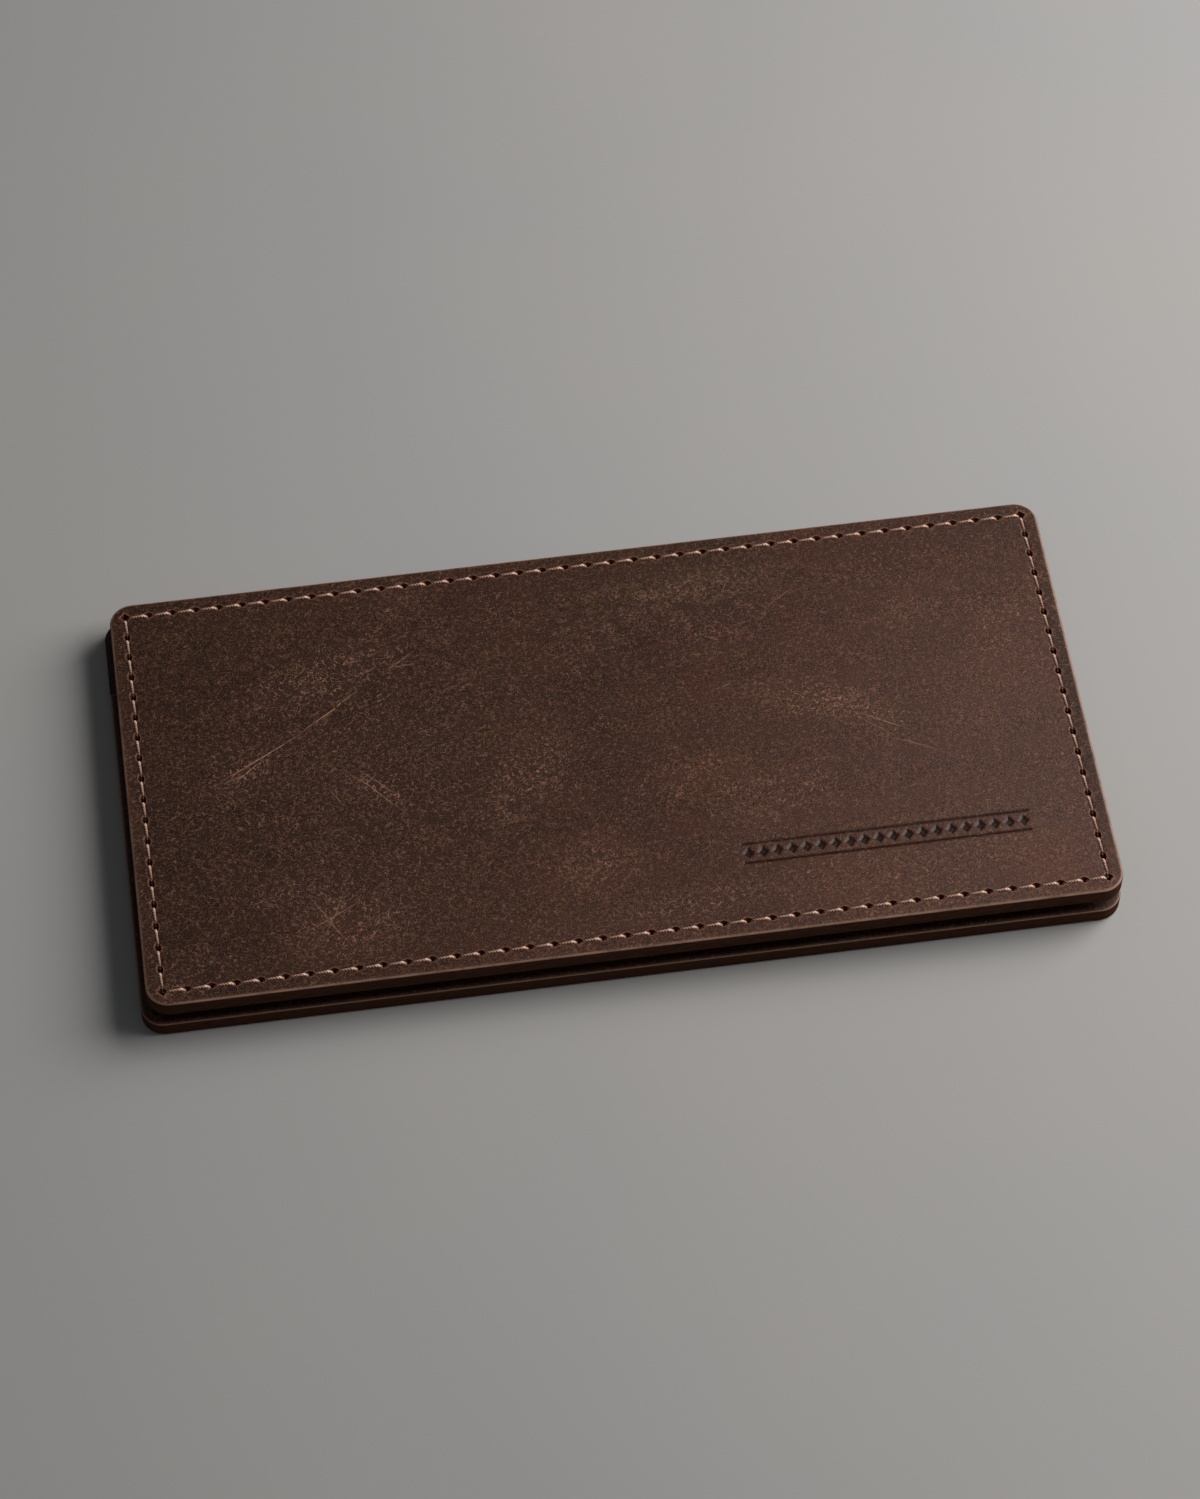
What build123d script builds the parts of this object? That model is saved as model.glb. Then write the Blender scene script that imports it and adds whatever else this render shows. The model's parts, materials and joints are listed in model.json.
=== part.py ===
from build123d import *
from dataclasses import dataclass
import os

os.makedirs("parts", exist_ok=True)

# Outline of the front cover. The back cover is cut a little larger and shows at the left and near edges.
cover_length = 166.0
cover_depth = 83.0
corner_radius = 4.0
overhang_left = 1.3
overhang_near = 0.4

# Thickness of each layer in a sewn stack, from the outer face inwards
face_leather = 1.1
spine_leather = 0.9
lining_leather = 0.4
pocket_leather = 0.8

# Closed cover: the stacks stand this far apart at the fold and spring open by this angle
fold_gap = 0.9
closed_angle = 1.15

# Bevels cut along the outer and the inner edge of a stack
face_edge_bevel = 0.55
pocket_edge_bevel = 0.4

# Saddle stitching: distance from the edge, least pitch, awl holes, the groove and the thread
stitch_margin = 2.8
stitch_pitch = 4.1
awl_hole_length = 1.5
awl_hole_width = 0.6
groove_width = 0.8
thread_width = 0.45
thread_height = 0.45
thread_clearance = 0.05
thread_dip = 0.95
thread_rounding = 0.15
inner_thread_height = 0.3

# Spine strip: how far its ends stand in from the cover's ends and how deep it is sewn in
strip_end_inset = 6.0
strip_end_clearance = 0.5
flange_depth = 9.0
skived_thickness = 0.7
fold_setback = 0.7
fold_clearance = 0.25

# Pockets: stitches left free beyond the mouth, rise of the pressed field, its slope and the thumb cut-out
mouth_stitches = 3
pocket_rise = 0.4
field_inset = 3.7
field_slope = 1.2
field_corner = 3.0
thumb_radius = 13.0
thumb_depth = 7.0

# Worked out from the sizes above
core_start = face_leather
lining_start = core_start + spine_leather
pocket_start = lining_start + lining_leather
stack = pocket_start + pocket_leather
fold_height = core_start + spine_leather / 2
fold_y = (cover_depth + overhang_near) / 2 - fold_setback
web_length = 2 * (stack - fold_height) + fold_gap
strip_length = cover_length - 2 * strip_end_inset
strip_slot = strip_length + 2 * strip_end_clearance
lining_setback = fold_setback + spine_leather / 2 + fold_clearance
flange_setback = fold_setback + skived_thickness / 2 + fold_clearance
thread_gap = awl_hole_length - 2 * (thread_width + thread_clearance)


@dataclass
class StitchRow:
    """A straight row. Its plane stands on the row, with X along it and Y down into the stack."""

    plane: Plane
    pitch: float
    count: int

    def middles(self):
        return [(place - (self.count - 1) / 2) * self.pitch for place in range(self.count)]


@dataclass
class Cover:
    """One of the two stacks. Its face plane lies on the outer face, with Y to the fold and Z inwards."""

    name: str
    pocket_name: str
    face: Plane
    length: float
    depth: float
    strip_shift: float

    def __post_init__(self):
        self.row_x = self.length / 2 - stitch_margin
        self.row_y = self.depth / 2 - stitch_margin
        self.long_count = int(2 * self.row_x / stitch_pitch)
        self.short_count = int(2 * self.row_y / stitch_pitch)
        self.pitch_x = 2 * self.row_x / self.long_count
        self.pitch_y = 2 * self.row_y / self.short_count
        self.mouth_y = self.row_y - mouth_stitches * self.pitch_y
        self.outward = Axis(self.face.origin, -self.face.z_dir)

    def row(self, x, y):
        """The row through a point of the face: a long one if the point is off to Y, or else a short one."""
        along = self.face.x_dir if y else self.face.y_dir
        origin = self.face.from_local_coords((x, y, 0))
        plane = Plane(origin=origin, x_dir=along, z_dir=along.cross(self.face.z_dir))
        pitch, count = (self.pitch_x, self.long_count) if y else (self.pitch_y, self.short_count)
        return StitchRow(plane, pitch, count)

    def long_rows(self):
        return [self.row(0, side * self.row_y) for side in (-1, 1)]

    def short_rows(self):
        return [self.row(side * self.row_x, 0) for side in (-1, 1)]


inward = Vector(0, 0, -1).rotate(Axis.X, -closed_angle)
front_fold = Plane(
    origin=(overhang_left / 2, fold_y, fold_height + web_length), x_dir=(-1, 0, 0), z_dir=inward
)
front_centre = front_fold.from_local_coords((0, fold_setback - cover_depth / 2, -fold_height))

back = Cover(
    name="back",
    pocket_name="check_pocket",
    face=Plane.XY,
    length=cover_length + overhang_left,
    depth=cover_depth + overhang_near,
    strip_shift=overhang_left / 2,
)
front = Cover(
    name="front",
    pocket_name="register_pocket",
    face=Plane(origin=front_centre, x_dir=(-1, 0, 0), z_dir=inward),
    length=cover_length,
    depth=cover_depth,
    strip_shift=0.0,
)


def save(piece, name):
    piece.part.label = name
    export_step(piece.part, f"parts/{name}.step")


def far_slot(cover, setback):
    """Cuts the far edge back to the setback line, all along the spine strip."""
    with Locations((cover.strip_shift, cover.depth / 2 - setback)):
        Rectangle(strip_slot, cover.depth, align=(Align.CENTER, Align.MIN), mode=Mode.SUBTRACT)


def face_leather_piece(cover):
    """Outer leather: round-cornered outline, bevelled edge, stitching groove and a row of awl holes."""
    with BuildPart() as leather:
        with BuildSketch(cover.face):
            RectangleRounded(cover.length, cover.depth, corner_radius)
        extrude(amount=face_leather)
        chamfer(leather.faces().sort_by(cover.outward)[-1].edges(), face_edge_bevel)
        with BuildSketch(cover.face):
            Rectangle(2 * cover.row_x + groove_width, 2 * cover.row_y + groove_width)
            Rectangle(2 * cover.row_x - groove_width, 2 * cover.row_y - groove_width, mode=Mode.SUBTRACT)
        extrude(amount=thread_height, mode=Mode.SUBTRACT)
        with BuildSketch(cover.face):
            with GridLocations(cover.pitch_x, 2 * cover.row_y, cover.long_count - 1, 2):
                Rectangle(awl_hole_length, awl_hole_width)
            with GridLocations(2 * cover.row_x, cover.pitch_y, 2, cover.short_count - 1):
                Rectangle(awl_hole_width, awl_hole_length)
            with GridLocations(2 * cover.row_x, 2 * cover.row_y, 2, 2):
                Rectangle(awl_hole_length, awl_hole_length)
        extrude(amount=face_leather, mode=Mode.SUBTRACT)
    save(leather, f"{cover.name}_face_leather")


def stiffener_piece(cover):
    """Fibre board in the core of the stack, cut out along the far edge for the spine strip's flange."""
    with BuildPart() as board:
        with BuildSketch(cover.face.offset(core_start)):
            RectangleRounded(cover.length, cover.depth, corner_radius)
            far_slot(cover, flange_depth)
        extrude(amount=spine_leather)
    save(board, f"{cover.name}_stiffener")


def lining_piece(cover):
    """Thin lining leather, cut back along the fold so that the spine strip can stand up."""
    with BuildPart() as lining:
        with BuildSketch(cover.face.offset(lining_start)):
            RectangleRounded(cover.length, cover.depth, corner_radius)
            far_slot(cover, lining_setback)
        extrude(amount=lining_leather)
    save(lining, f"{cover.name}_lining")


def spine_flange_piece(cover):
    """The sewn-in edge of the spine strip, held between the outer leather and the lining."""
    with BuildPart() as flange:
        with BuildSketch(cover.face.offset(core_start)):
            with Locations((cover.strip_shift, cover.depth / 2 - flange_setback)):
                Rectangle(strip_length, flange_depth - flange_setback, align=(Align.CENTER, Align.MAX))
        extrude(amount=spine_leather)
    save(flange, f"{cover.name}_spine_flange")


def field_outline(cover, height, inset):
    """Outline of the pocket's pressed field at one height. It runs on past the mouth."""
    with BuildSketch(cover.face.offset(height)) as field:
        with Locations((0, inset - cover.depth / 2)):
            RectangleRounded(
                cover.length - 2 * inset, cover.depth, field_corner, align=(Align.CENTER, Align.MIN)
            )
    return field.sketch


def pocket_piece(cover):
    """Pocket leather: flat sewn border, pressed field, open mouth towards the fold and a thumb cut-out."""
    hollow_inset = field_inset + pocket_leather
    with BuildPart() as pocket:
        with BuildSketch(cover.face.offset(pocket_start)):
            RectangleRounded(cover.length, cover.depth, corner_radius)
        extrude(amount=pocket_leather)
        chamfer(pocket.faces().sort_by(cover.outward)[0].edges(), pocket_edge_bevel)
        loft(
            [
                field_outline(cover, stack, field_inset),
                field_outline(cover, stack + pocket_rise, field_inset + field_slope),
            ]
        )
        loft(
            [
                field_outline(cover, pocket_start, hollow_inset),
                field_outline(cover, pocket_start + pocket_rise, hollow_inset + field_slope),
            ],
            mode=Mode.SUBTRACT,
        )
        with BuildSketch(cover.face.offset(pocket_start)):
            with Locations((0, cover.mouth_y)):
                Rectangle(2 * cover.length, cover.depth, align=(Align.CENTER, Align.MIN))
            with Locations((0, cover.mouth_y - thumb_depth + thumb_radius)):
                Circle(thumb_radius)
        extrude(amount=pocket_leather + pocket_rise, mode=Mode.SUBTRACT)
    save(pocket, cover.pocket_name)


def face_stitching_piece(cover):
    """Stitches on the outer face. Each lies in the groove and dips into an awl hole at both ends."""
    with BuildPart() as stitching:
        for row in cover.long_rows() + cover.short_rows():
            reach = (row.pitch - thread_gap) / 2
            with BuildSketch(row.plane):
                with Locations(*[(middle, 0) for middle in row.middles()]):
                    Polygon(
                        (thread_rounding - reach, 0),
                        (reach - thread_rounding, 0),
                        (reach, thread_dip),
                        (reach - thread_width, thread_height),
                        (thread_width - reach, thread_height),
                        (-reach, thread_dip),
                        align=None,
                    )
            extrude(amount=thread_width / 2, both=True)
    save(stitching, f"{cover.name}_face_stitching")


def inner_stitching_piece(cover):
    """The same rows on the inner face: on the pocket's border, and past its mouth on the lining."""
    with BuildPart() as stitching:
        near_row, far_row = cover.long_rows()
        left_row, right_row = cover.short_rows()
        for row, pocket_count in (
            (near_row, near_row.count),
            (far_row, 0),
            (left_row, left_row.count - mouth_stitches),
            (right_row, right_row.count - mouth_stitches),
        ):
            reach = (row.pitch - thread_gap) / 2
            on_pocket = [(middle, stack) for middle in row.middles()[:pocket_count]]
            on_lining = [(middle, pocket_start) for middle in row.middles()[pocket_count:]]
            with BuildSketch(row.plane):
                with Locations(*on_pocket, *on_lining):
                    Polygon(
                        (-reach, 0),
                        (reach, 0),
                        (reach - thread_rounding, inner_thread_height),
                        (thread_rounding - reach, inner_thread_height),
                        align=None,
                    )
            extrude(amount=thread_width / 2, both=True)
    save(stitching, f"{cover.name}_inner_stitching")


def spine_strip_piece():
    """Free part of the spine strip: one leather web between two fold lines, skived thinner at each."""
    with BuildPart() as strip:
        with BuildSketch(Plane.YZ.offset(overhang_left / 2)):
            with Locations((fold_y, fold_height), (fold_y, fold_height + web_length)):
                Circle(skived_thickness / 2)
            with Locations((fold_y, fold_height + web_length / 2)):
                Circle(spine_leather / 2)
            make_hull()
        extrude(amount=strip_length / 2, both=True)
    save(strip, "spine_strip")


for cover in (back, front):
    face_leather_piece(cover)
    stiffener_piece(cover)
    lining_piece(cover)
    spine_flange_piece(cover)
    pocket_piece(cover)
    face_stitching_piece(cover)
    inner_stitching_piece(cover)
spine_strip_piece()
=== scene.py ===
import json
import math
import bmesh
import bpy
import mathutils
import numpy as np
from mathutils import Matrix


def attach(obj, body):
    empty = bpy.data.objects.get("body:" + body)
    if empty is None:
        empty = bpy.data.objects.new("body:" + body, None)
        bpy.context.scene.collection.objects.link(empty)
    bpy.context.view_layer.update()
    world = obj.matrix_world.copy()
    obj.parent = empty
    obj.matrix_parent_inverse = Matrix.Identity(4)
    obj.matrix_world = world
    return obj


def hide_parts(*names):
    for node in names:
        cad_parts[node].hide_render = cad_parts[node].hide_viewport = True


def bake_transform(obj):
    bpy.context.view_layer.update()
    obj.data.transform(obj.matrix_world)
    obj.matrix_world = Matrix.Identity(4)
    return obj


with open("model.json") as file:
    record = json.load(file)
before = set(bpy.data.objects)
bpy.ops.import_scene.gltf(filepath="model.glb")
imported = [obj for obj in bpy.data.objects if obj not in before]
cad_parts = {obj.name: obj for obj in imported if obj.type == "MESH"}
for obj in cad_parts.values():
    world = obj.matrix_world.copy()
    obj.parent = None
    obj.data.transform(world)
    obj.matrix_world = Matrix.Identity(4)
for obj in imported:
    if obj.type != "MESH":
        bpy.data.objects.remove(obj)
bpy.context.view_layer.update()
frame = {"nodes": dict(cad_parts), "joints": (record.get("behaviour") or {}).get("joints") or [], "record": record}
mm = 0.001

# Outer leathers: two oblongs of waxed pull-up leather, one for each cover.
# The edge is bevelled and rubbed round. A row of awl holes runs round the
# face, and the leather dips between them where the thread pulls it down.
face_thickness = 1.1 * mm
corner_radius = 4.0 * mm
corner_blend = 0.4, 0.75
wall_line = 0.93 * mm
edge_round = 0.5 * mm
edge_steps = 7
stitch_margin = 2.8 * mm
long_stitches = 39
short_stitches = 18
hole_half_length = 0.72 * mm
hole_half_width = 0.43 * mm
leaf_power = 1.6
hole_depth = 0.9 * mm
long_hole_slant = math.radians(-9)
short_hole_slant = math.radians(12)
pull_down = 0.14 * mm
lip_height = 0.07 * mm
hole_wall = 0.55, 1.25
lip_ring = 1.9, 0.7
dip_width = 0.5 * mm
dip_length = 1.2 * mm
dip_fading = 0.45
face_waviness = 0.03 * mm
wave_length = 38 * mm
wave_seed = 3
field_spacing = 1.4 * mm
hole_lines = np.array([0.13, 0.27, 0.42, 0.58, 0.75, 0.95]) * mm
between_holes = 1.4 * mm
border_lines = np.array([0.75, 1.05, 1.4]) * mm
line_slack = 0.0001 * mm

# Where the face is rubbed light and where light and shade are painted on it: its edge's crest, rubbed light and
# given a painted highlight, its holes' rims, rubbed light, the inside of its holes, painted dark as shade, and its
# stitch rows, which carry a line of painted shade.
crest_inset = 0.16 * mm
crest_width = 0.19 * mm
rim_ring = 1.7, 0.45
# How far into each awl hole the painted shade reaches.
hole_shade_range = 0.85, 1.5
shade_width = 0.42 * mm
shade_reach = 0.8 * mm

# Blind-tooled band at the lower right: a row of lozenges between two creased rules.
band_middle = np.array([44.5, -25.4]) * mm
band_half_length = 25.0 * mm
band_half_height = 2.3 * mm
band_spacing = 0.2 * mm
lozenge_pitch = 2.5 * mm
lozenge_half_height = 1.15 * mm
lozenge_share = 0.42
lozenge_slope = -0.04, 0.22
rule_width = 0.36 * mm
rule_softness = 0.6
rule_fade = 0.25 * mm
rule_overrun = 0.05 * mm
band_depth = 0.26 * mm


def unit(vector):
    return np.array(vector, float) / np.linalg.norm(vector)


def step(value, start, end):
    """Rises smoothly from 0 at start to 1 at end."""
    share = np.clip((value - start) / (end - start), 0, 1)
    return share * share * (3 - 2 * share)


def hump(value, middle, width):
    """A bell-shaped hump, 1 high at its middle."""
    return np.exp(-(((value - middle) / width) ** 2))


def waves(u, v, size, seed):
    """Slow unevenness from -1 to 1: a sum of six plane waves about size long, whose ways the seed gives."""
    random = np.random.default_rng(seed)
    ways, turns = random.uniform(0, math.pi, 6), random.uniform(0, 6.3, 6)
    scales = random.uniform(0.6, 1.6, 6)
    total = 0
    for way, turn, scale in zip(ways, turns, scales):
        total = total + np.sin((u * math.cos(way) + v * math.sin(way)) * 2 * math.pi / (size * scale) + turn)
    return total / 6


class Cover:
    """One cover, seen from outside with the fold at the top: u runs right, v up to the fold and w inwards."""

    def __init__(self, name, right, up):
        self.name = name
        self.body = f"{name}_cover"
        self.right, self.up = unit(right), unit(up)
        self.inward = -np.cross(self.right, self.up)
        mesh = frame["nodes"][f"{name}_face_leather"].data
        places = np.array([corner.co for corner in mesh.vertices], float) @ self.axes().T
        low, high = places.min(0), places.max(0)
        self.centre = np.array([*(low + high)[:2] / 2, low[2]]) @ self.axes()
        self.half_length, self.half_depth = (high - low)[:2] / 2
        self.row_u = self.half_length - stitch_margin
        self.row_v = self.half_depth - stitch_margin
        self.pitch_u = 2 * self.row_u / long_stitches
        self.pitch_v = 2 * self.row_v / short_stitches

    def axes(self):
        return np.stack([self.right, self.up, self.inward])

    def place(self, points):
        """Points given as u, v and w, in the row frame."""
        return self.centre + points @ self.axes()

    def nearest_hole(self, u, v):
        """Distances from the nearest awl hole along u and along v, and whether its row is a long one."""
        long_row = np.abs(np.abs(v) - self.row_v) < np.abs(np.abs(u) - self.row_u)
        number_u = np.clip(np.round((u + self.row_u) / self.pitch_u), 0, long_stitches)
        number_v = np.clip(np.round((v + self.row_v) / self.pitch_v), 0, short_stitches)
        hole_u = np.where(long_row, number_u * self.pitch_u - self.row_u, np.sign(u) * self.row_u)
        hole_v = np.where(long_row, np.sign(v) * self.row_v, number_v * self.pitch_v - self.row_v)
        return u - hole_u, v - hole_v, long_row


front_mouth = next(m for m in frame["record"]["mounts"] if m["name"] == "register_pocket_mouth")
covers = back, front = Cover("back", (-1, 0, 0), (0, 1, 0)), Cover("front", (1, 0, 0), front_mouth["axis"])


def inset_from_edge(u, v, half_u, half_v, radius):
    """Distance in from the outline of an oblong with round corners: the usual formula for a rounded box."""
    beyond_u, beyond_v = np.abs(u) - half_u + radius, np.abs(v) - half_v + radius
    outside = np.hypot(np.maximum(beyond_u, 0), np.maximum(beyond_v, 0))
    return radius - outside - np.minimum(np.maximum(beyond_u, beyond_v), 0)


def round_corners(u, v, half_u, half_v, radius):
    """Draws the corners of a square grid in to a round outline. A point past the arc's centre keeps its
    larger distance as its radius, fully near the outline and not at all near the centre."""
    past_u, past_v = np.abs(u) - half_u + radius, np.abs(v) - half_v + radius
    largest = np.maximum(past_u, past_v)
    corner = (past_u > 0) & (past_v > 0)
    share = np.where(corner, largest / np.where(corner, np.hypot(past_u, past_v), 1), 1)
    start, end = corner_blend
    share = 1 + (share - 1) * step(largest, start * radius, end * radius)
    new_u = np.where(corner, np.sign(u) * (half_u - radius + past_u * share), u)
    new_v = np.where(corner, np.sign(v) * (half_v - radius + past_v * share), v)
    return new_u, new_v


def rounded_edge(inset, radius):
    """Drop of a quarter-round edge below the face: a circle's height, and nothing past its radius."""
    across = np.clip(radius - inset, 0, radius)
    return radius - np.sqrt(radius**2 - across**2)


def hole_shape(x, y, long_row):
    """1 on the outline of the nearest awl hole, less inside: a slanted leaf between a lozenge and an oval."""
    slant = np.where(long_row, long_hole_slant, math.pi / 2 + short_hole_slant)
    along = x * np.cos(slant) + y * np.sin(slant)
    across = y * np.cos(slant) - x * np.sin(slant)
    return (np.abs(along) / hole_half_length) ** leaf_power + (np.abs(across) / hole_half_width) ** leaf_power


def stitched_relief(cover, u, v):
    """Depth of the stitched face below its plane: the holes, less their raised lips, plus the dip under the
    thread, which is deepest by the holes."""
    x, y, long_row = cover.nearest_hole(u, v)
    shape = hole_shape(x, y, long_row)
    across = np.where(long_row, y, x)
    along = np.where(long_row, np.abs(x), np.abs(y))
    hole = hole_depth * (1 - step(shape, *hole_wall))
    lip = lip_height * hump(shape, *lip_ring)
    on_row = np.where(long_row, np.abs(u) < cover.row_u, np.abs(v) < cover.row_v)
    share = 1 + (hump(along, 0, dip_length) - 1) * dip_fading
    return hole - lip + pull_down * hump(across, 0, dip_width) * share * on_row


def band_relief(u, v):
    """Depth of the tooled band: two long rules, and between them lozenges with sides that slope inwards."""
    x, y = u - band_middle[0], v - band_middle[1]
    ends = 1 - step(np.abs(x), band_half_length - rule_fade, band_half_length + rule_overrun)
    rules = hump(np.abs(y), band_half_height - rule_width, rule_softness * rule_width) * ends
    local = np.abs((x + band_half_length) % lozenge_pitch - lozenge_pitch / 2)
    inside = 1 - local / (lozenge_share * lozenge_pitch) - np.abs(y) / lozenge_half_height
    lozenges = step(inside, *lozenge_slope) * (np.abs(x) < band_half_length)
    return band_depth * np.maximum(rules, lozenges)


class Shell:
    """Points and faces of one piece, gathered before they go into a mesh."""

    def __init__(self):
        self.points, self.faces, self.total = [], [], 0

    def add(self, u, v, w):
        """Takes arrays of distances and gives the numbers of the new points, in the arrays' shape."""
        points = np.stack(np.broadcast_arrays(u, v, w), -1)
        numbers = self.total + np.arange(points[..., 0].size).reshape(points.shape[:-1])
        self.points.append(points.reshape(-1, 3))
        self.total += numbers.size
        return numbers

    def grid(self, numbers, keep=slice(None)):
        """Fills a grid of numbers with four-sided faces, or only the places that keep marks."""
        corners = np.stack([numbers[:-1, :-1], numbers[1:, :-1], numbers[1:, 1:], numbers[:-1, 1:]], -1)
        self.faces += corners[keep].reshape(-1, 4).tolist()

    def zip(self, one, other, one_at, other_at):
        """Joins two lines of points with triangles. Each stretch of one line takes as its third corner the
        point of the other line that comes next when the middles of all stretches are put in order."""
        middles = [(at[:-1] + at[1:]) / 2 for at in (one_at, other_at)]
        third = other[np.searchsorted(middles[1], middles[0], "left")]
        fourth = one[np.searchsorted(middles[0], middles[1], "right")]
        self.faces += np.stack([one[:-1], one[1:], third], 1).tolist()
        self.faces += np.stack([other[1:], other[:-1], fourth], 1).tolist()

    def finished(self, name, cover=None, smooth_angle=40):
        """The piece as an object: unused points dropped, faces turned outwards, set in the cover's place if
        one is given. Its second return is the points as they were added."""
        points = np.concatenate(self.points)
        sizes = np.array([len(face) for face in self.faces])
        corners = np.concatenate([np.array(face) for face in self.faces])
        used, corners = np.unique(corners, return_inverse=True)
        mesh = bpy.data.meshes.new(name)
        mesh.vertices.add(len(used))
        places = cover.place(points[used]) if cover else points[used]
        mesh.vertices.foreach_set("co", places.astype(np.float32).ravel())
        mesh.loops.add(len(corners))
        mesh.loops.foreach_set("vertex_index", corners.astype(np.int32))
        mesh.polygons.add(len(sizes))
        mesh.polygons.foreach_set("loop_start", (np.cumsum(sizes) - sizes).astype(np.int32))
        mesh.update(calc_edges=True)
        work = bmesh.new()
        work.from_mesh(mesh)
        bmesh.ops.recalc_face_normals(work, faces=work.faces)
        work.to_mesh(mesh)
        work.free()
        mesh.shade_smooth()
        mesh.set_sharp_from_angle(angle=math.radians(smooth_angle))
        piece = bpy.data.objects.new(name, mesh)
        bpy.context.scene.collection.objects.link(piece)
        return piece, points[used]


def row_lines(low, high, row_low, holes, pitch, around, edge):
    """Grid lines across one axis: those given for the edges, and round each awl hole those that draw it, with
    three more between two holes."""
    at_holes = row_low + pitch * np.arange(holes)
    round_hole = np.concatenate([-around[::-1], [0], around])
    between = np.array([between_holes, pitch / 2, pitch - between_holes])
    lines_at_holes = (at_holes[:, None] + round_hole).ravel(), (at_holes[:-1, None] + between).ravel()
    return np.unique(np.concatenate([low + edge, high - edge, *lines_at_holes]).round(7))


def even_lines(low, high, spacing, dense_low, dense_high, dense_spacing):
    """Lines from low to high at the wide spacing, and at the dense one in the stretch that is given."""
    pieces = []
    for start, end, gap in (
        (low, dense_low, spacing),
        (dense_low, dense_high, dense_spacing),
        (dense_high, high, spacing),
    ):
        pieces.append(np.linspace(start, end, max(2, round((end - start) / gap) + 1)))
    return np.unique(np.concatenate(pieces).round(7))


def stitched_face(shell, lines, inner, field_lines, shape):
    """One face of a sheet: the full grid of lines along its stitched border, a coarser grid inside the inner
    oblong, and triangles between them. inner is the oblong's low and high corner, and its high side is the
    last line where the sheet ends in a free edge. shape turns grid places into u, v and w. Gives the numbers
    of the face's outline, in order."""
    u_lines, v_lines = lines
    border = shell.add(*shape(*np.meshgrid(u_lines, v_lines)))
    inside_u, inside_v = (
        (line[:-1] >= low - line_slack) & (line[1:] <= high + line_slack)
        for line, low, high in zip(lines, *inner)
    )
    shell.grid(border, ~(inside_v[:, None] & inside_u[None, :]))
    columns, rows = np.flatnonzero(inside_u), np.flatnonzero(inside_v)
    left, right, bottom, top = columns[0], columns[-1] + 1, rows[0], rows[-1] + 1
    field = shell.add(*shape(*np.meshgrid(*field_lines)))
    shell.grid(field)
    across, up = u_lines[left:right + 1], v_lines[bottom:top + 1]
    shell.zip(border[bottom, left:right + 1], field[0], across, field_lines[0])
    shell.zip(border[bottom:top + 1, left], field[:, 0], up, field_lines[1])
    shell.zip(border[bottom:top + 1, right], field[:, -1], up, field_lines[1])
    if top < len(v_lines) - 1:
        shell.zip(border[top, left:right + 1], field[-1], across, field_lines[0])
        far_side = border[-1, -2::-1]
    else:
        far_side = np.concatenate([border[-1, -2:right - 1:-1], field[-1, ::-1], border[-1, left::-1]])
    return np.concatenate([border[0], border[1:, -1], far_side, border[-2::-1, 0]])


def outer_leather(cover, tooled):
    """A closed sheet whose face is sunk by the round edge, the stitch holes and, on one, the tooled band. The
    other lies on its face, so nothing on it stands above that plane."""
    shell = Shell()
    half_u, half_v = cover.half_length, cover.half_depth
    bevel = edge_round * (1 - np.cos(np.linspace(0, math.pi / 2, edge_steps)))
    edge = np.concatenate([bevel, border_lines])
    u_lines = row_lines(-half_u, half_u, -cover.row_u, long_stitches + 1, cover.pitch_u, hole_lines, edge)
    v_lines = row_lines(-half_v, half_v, -cover.row_v, short_stitches + 1, cover.pitch_v, hole_lines, edge)
    inner = np.array([cover.row_u, cover.row_v]) - hole_lines[-1]
    gap = field_spacing / 2
    band_reach = np.array([band_half_length, band_half_height]) + band_spacing
    spacing = band_spacing if tooled else field_spacing
    field_lines = [
        even_lines(gap - reach, reach - gap, field_spacing, start, end, spacing)
        for reach, start, end in zip(inner, band_middle - band_reach, band_middle + band_reach)
    ]

    def shape(u, v):
        u, v = round_corners(u, v, half_u, half_v, corner_radius)
        inset = inset_from_edge(u, v, half_u, half_v, corner_radius)
        w = rounded_edge(inset, edge_round) + stitched_relief(cover, u, v)
        w = w + face_waviness * (1 + waves(u, v, wave_length, wave_seed)) * step(inset, 0, corner_radius)
        return u, v, w + band_relief(u, v) if tooled else np.maximum(w, 0)

    ring = stitched_face(shell, (u_lines, v_lines), (-inner, inner), field_lines, shape)
    points = np.concatenate(shell.points)[ring]
    wall = [ring, *(shell.add(points[:, 0], points[:, 1], level) for level in (wall_line, face_thickness))]
    shell.grid(np.stack(wall))
    shell.faces.append(wall[-1][:-1].tolist())
    return shell.finished(f"{cover.name}_outer_leather", cover)


def mark_points(piece, name, values):
    """Keeps one number for each point of the mesh, for its material."""
    piece.data.attributes.new(name, "FLOAT", "POINT").data.foreach_set("value", values.astype(np.float32))


def mark_wear_and_painted_light(piece, points, cover):
    """Marks where handling rubs the dye lighter, on the crest of the edge, which also takes a painted highlight,
    and the rims of holes;
    how far down a hole each point is, for the painted shade inside it; the dip under the thread, for a line of
    painted shade; and the tooled band."""
    u, v, w = points.T
    inset = inset_from_edge(u, v, cover.half_length, cover.half_depth, corner_radius)
    x, y, long_row = cover.nearest_hole(u, v)
    shape = hole_shape(x, y, long_row)
    across = np.where(long_row, y, x)
    on_face = w < face_thickness / 2
    on_rows = on_face * (inset > stitch_margin - shade_reach)
    mark_points(piece, "crest", hump(inset, crest_inset, crest_width) * on_face)
    mark_points(piece, "rim", hump(shape, *rim_ring) * on_face)
    # Painted shade inside the awl holes, darkest at their middle.
    mark_points(piece, "hole", (1 - step(shape, *hole_shade_range)) * (inset > edge_round))
    # A line of painted shade along the stitch rows, under the thread.
    mark_points(piece, "row_painted_shade", hump(across, 0, shade_width) * on_rows)
    mark_points(piece, "pressed", band_relief(u, v) / band_depth * (cover is front) * on_face)


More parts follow.
